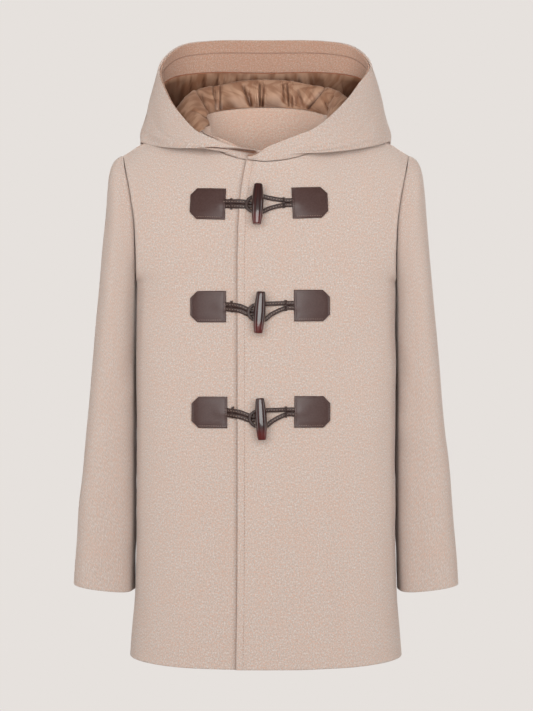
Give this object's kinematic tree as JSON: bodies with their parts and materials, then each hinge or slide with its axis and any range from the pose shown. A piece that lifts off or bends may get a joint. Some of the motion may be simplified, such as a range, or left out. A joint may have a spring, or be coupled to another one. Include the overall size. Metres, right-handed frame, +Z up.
{
  "type": "duffle coat",
  "caption": "Hooded child's duffle coat in wool cloth, closed in front by toggles on leather patches, with its hood lying back to show a gathered satin lining.",
  "frame": {"origin": "between the wearer's shoulders, at the height of the neck's base", "axes": "+Z up, the front faces -Y, +X is the wearer's left side"},
  "size_m": [0.46, 0.2995, 0.7516],
  "materials": {
    "wool": "brushed melton wool",
    "band_wool": "brushed melton wool, darker",
    "satin": "glossy satin lining",
    "leather": "smooth dark leather",
    "horn": "polished imitation horn"
  },
  "bodies": {
    "root": {"front_left": "wool", "front_right": "wool", "back": "wool", "sleeve_left": "wool", "sleeve_right": "wool", "hood_left": "wool", "hood_right": "wool", "neck_facing": "wool", "hood_band": "band_wool", "hood_lining": "satin", "patch_left_1": "leather", "patch_right_1": "leather", "strap_1": "leather", "loop_1": "leather", "toggle_1": "horn", "patch_left_2": "leather", "patch_right_2": "leather", "strap_2": "leather", "loop_2": "leather", "toggle_2": "horn", "patch_left_3": "leather", "patch_right_3": "leather", "strap_3": "leather", "loop_3": "leather", "toggle_3": "horn"}
  },
  "joints": []
}
